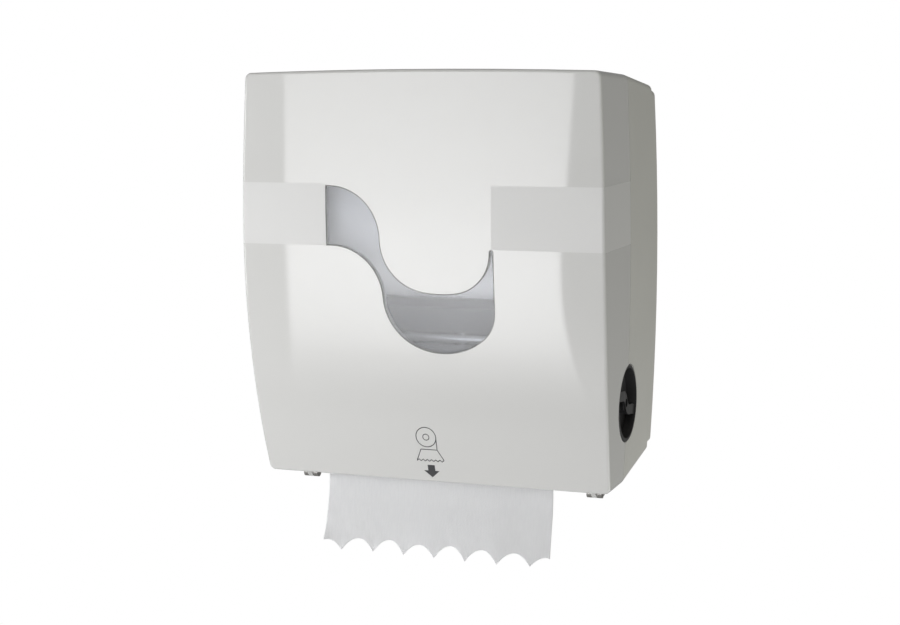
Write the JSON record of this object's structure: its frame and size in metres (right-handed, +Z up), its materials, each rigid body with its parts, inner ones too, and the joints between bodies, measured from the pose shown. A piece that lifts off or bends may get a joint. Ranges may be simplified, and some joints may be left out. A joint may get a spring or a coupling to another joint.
{
  "type": "paper towel dispenser",
  "caption": "Wall-mounted roll towel dispenser: hinged gloss cover with a curved smoked window, hand wheel on the side, and a drum that feeds and cuts the paper.",
  "frame": {"origin": "centre of the four wall screw holes, on the rear face", "axes": "+X to the viewer's right, +Y into the wall, +Z up"},
  "size_m": [0.336, 0.223, 0.4444],
  "materials": {
    "case_front": "polished moulded front with a matte band across it",
    "case_rear": "fine moulded texture",
    "smoked_window": "slightly smoked clear plastic, polished",
    "black_plastic": "satin black moulding",
    "frame_plastic": "grey moulding",
    "bearing_plastic": "natural white moulding",
    "drum_plastic": "dark grey moulding",
    "rubber": "matte grip rubber",
    "bright_steel": "bright zinc plated",
    "steel": "zinc plated",
    "spring_steel": "drawn wire",
    "blade_steel": "ground edge",
    "chrome": "polished",
    "cardboard": "spiral wound board",
    "paper": "embossed one-ply towel paper"
  },
  "bodies": {
    "root": {"rear_housing": "case_rear", "hinge_left": "bright_steel", "hinge_right": "bright_steel", "hinge_pins": "bright_steel", "hinge_screws": "bright_steel", "lock_keeper": "steel", "keeper_screws": "steel", "left_side_frame": "frame_plastic", "right_side_frame": "frame_plastic", "frame_screws": "steel", "drum_bush_left": "bearing_plastic", "drum_bush_right": "bearing_plastic", "tie_rod": "steel", "paper_guide": "frame_plastic", "through_screws": "steel", "knife_cam": "bearing_plastic", "cam_screw": "steel", "pinch_springs": "spring_steel", "pawl_spring": "spring_steel", "return_spring": "spring_steel", "retaining_rings": "spring_steel", "roll_arm_left": "frame_plastic", "arm_bracket": "frame_plastic", "arm_pin": "steel", "arm_screws": "steel", "towel_web": "paper", "towel_tail": "paper"},
    "cover": {"front_cover": "case_front", "window_pane": "smoked_window", "window_clips": "steel", "lock_nut": "bright_steel"},
    "lock": {"lock_barrel": "chrome", "lock_cam": "steel"},
    "drum": {"drum_shell_front": "drum_plastic", "drum_shell_rear": "drum_plastic", "drum_grips": "rubber", "drum_cap_left": "drum_plastic", "drum_cap_right": "drum_plastic", "drum_cap_screws": "steel", "knife_pins": "steel", "ratchet_wheel": "bearing_plastic", "crank_disc": "bearing_plastic", "crank_screw": "steel", "crank_pin_ring": "spring_steel", "hand_wheel": "black_plastic", "wheel_screw": "steel"},
    "knife": {"knife_carrier": "frame_plastic", "knife_blade": "blade_steel", "blade_screws": "steel"},
    "yoke": {"pinch_yoke": "frame_plastic"},
    "pinch_roller": {"pinch_shaft": "steel", "pinch_sleeves": "rubber"},
    "pawl": {"ratchet_pawl": "bearing_plastic"},
    "roll": {"roll_core": "cardboard", "towel_roll": "paper", "core_plug_left": "bearing_plastic"},
    "arm": {"roll_arm_right": "frame_plastic"},
    "plug": {"core_plug_right": "bearing_plastic"}
  },
  "joints": [
    {"name": "cover_hinge", "type": "hinge", "parent": "root", "child": "cover", "pos_m": [0, -0.1315, -0.243], "axis": [1, 0, 0], "range_deg": [0, 95], "deforming": ["towel_tail"]},
    {"name": "lock_turn", "type": "hinge", "parent": "cover", "child": "lock", "pos_m": [0, -0.152, 0.11933], "axis": [0, 0, 1], "range_deg": [0, 90]},
    {"name": "drum_turn", "type": "hinge", "parent": "root", "child": "drum", "pos_m": [0, -0.125, -0.161], "axis": [1, 0, 0], "continuous": true, "deforming": ["return_spring"]},
    {"name": "knife_swing", "type": "hinge", "parent": "drum", "child": "knife", "pos_m": [0, -0.10353, -0.19098], "axis": [1, 0, 0], "range_deg": [-22, 0], "deforming": ["towel_web"]},
    {"name": "pinch_lift", "type": "hinge", "parent": "root", "child": "yoke", "pos_m": [0, -0.05802, -0.1169], "axis": [1, 0, 0], "range_deg": [-5, 0], "stiffness_Nm_per_rad": 1.16, "springref_deg": 11.46, "deforming": ["pinch_springs"]},
    {"name": "pinch_spin", "type": "hinge", "parent": "yoke", "child": "pinch_roller", "pos_m": [0, -0.09202, -0.1139], "axis": [1, 0, 0], "continuous": true},
    {"name": "roll_spin", "type": "hinge", "parent": "root", "child": "roll", "pos_m": [0, -0.116, 0.0158], "axis": [1, 0, 0], "continuous": true},
    {"name": "roll_arm_swing", "type": "hinge", "parent": "root", "child": "arm", "pos_m": [0.119, -0.021, 0.0158], "axis": [0, 0, 1], "range_deg": [0, 9]},
    {"name": "plug_spin", "type": "hinge", "parent": "arm", "child": "plug", "pos_m": [0.1095, -0.116, 0.0158], "axis": [1, 0, 0], "continuous": true},
    {"name": "pawl_rock", "type": "hinge", "parent": "root", "child": "pawl", "pos_m": [-0.1224, -0.1081, -0.12921], "axis": [1, 0, 0], "range_deg": [-12, 0], "stiffness_Nm_per_rad": 0.05, "springref_deg": 5.73, "deforming": ["pawl_spring"]}
  ],
  "couplings": [
    {"joint": "pinch_spin", "follows": "drum_turn", "ratio": -3.7083},
    {"joint": "roll_spin", "follows": "drum_turn", "ratio": -0.50454},
    {"joint": "plug_spin", "follows": "drum_turn", "ratio": -0.50454}
  ]
}
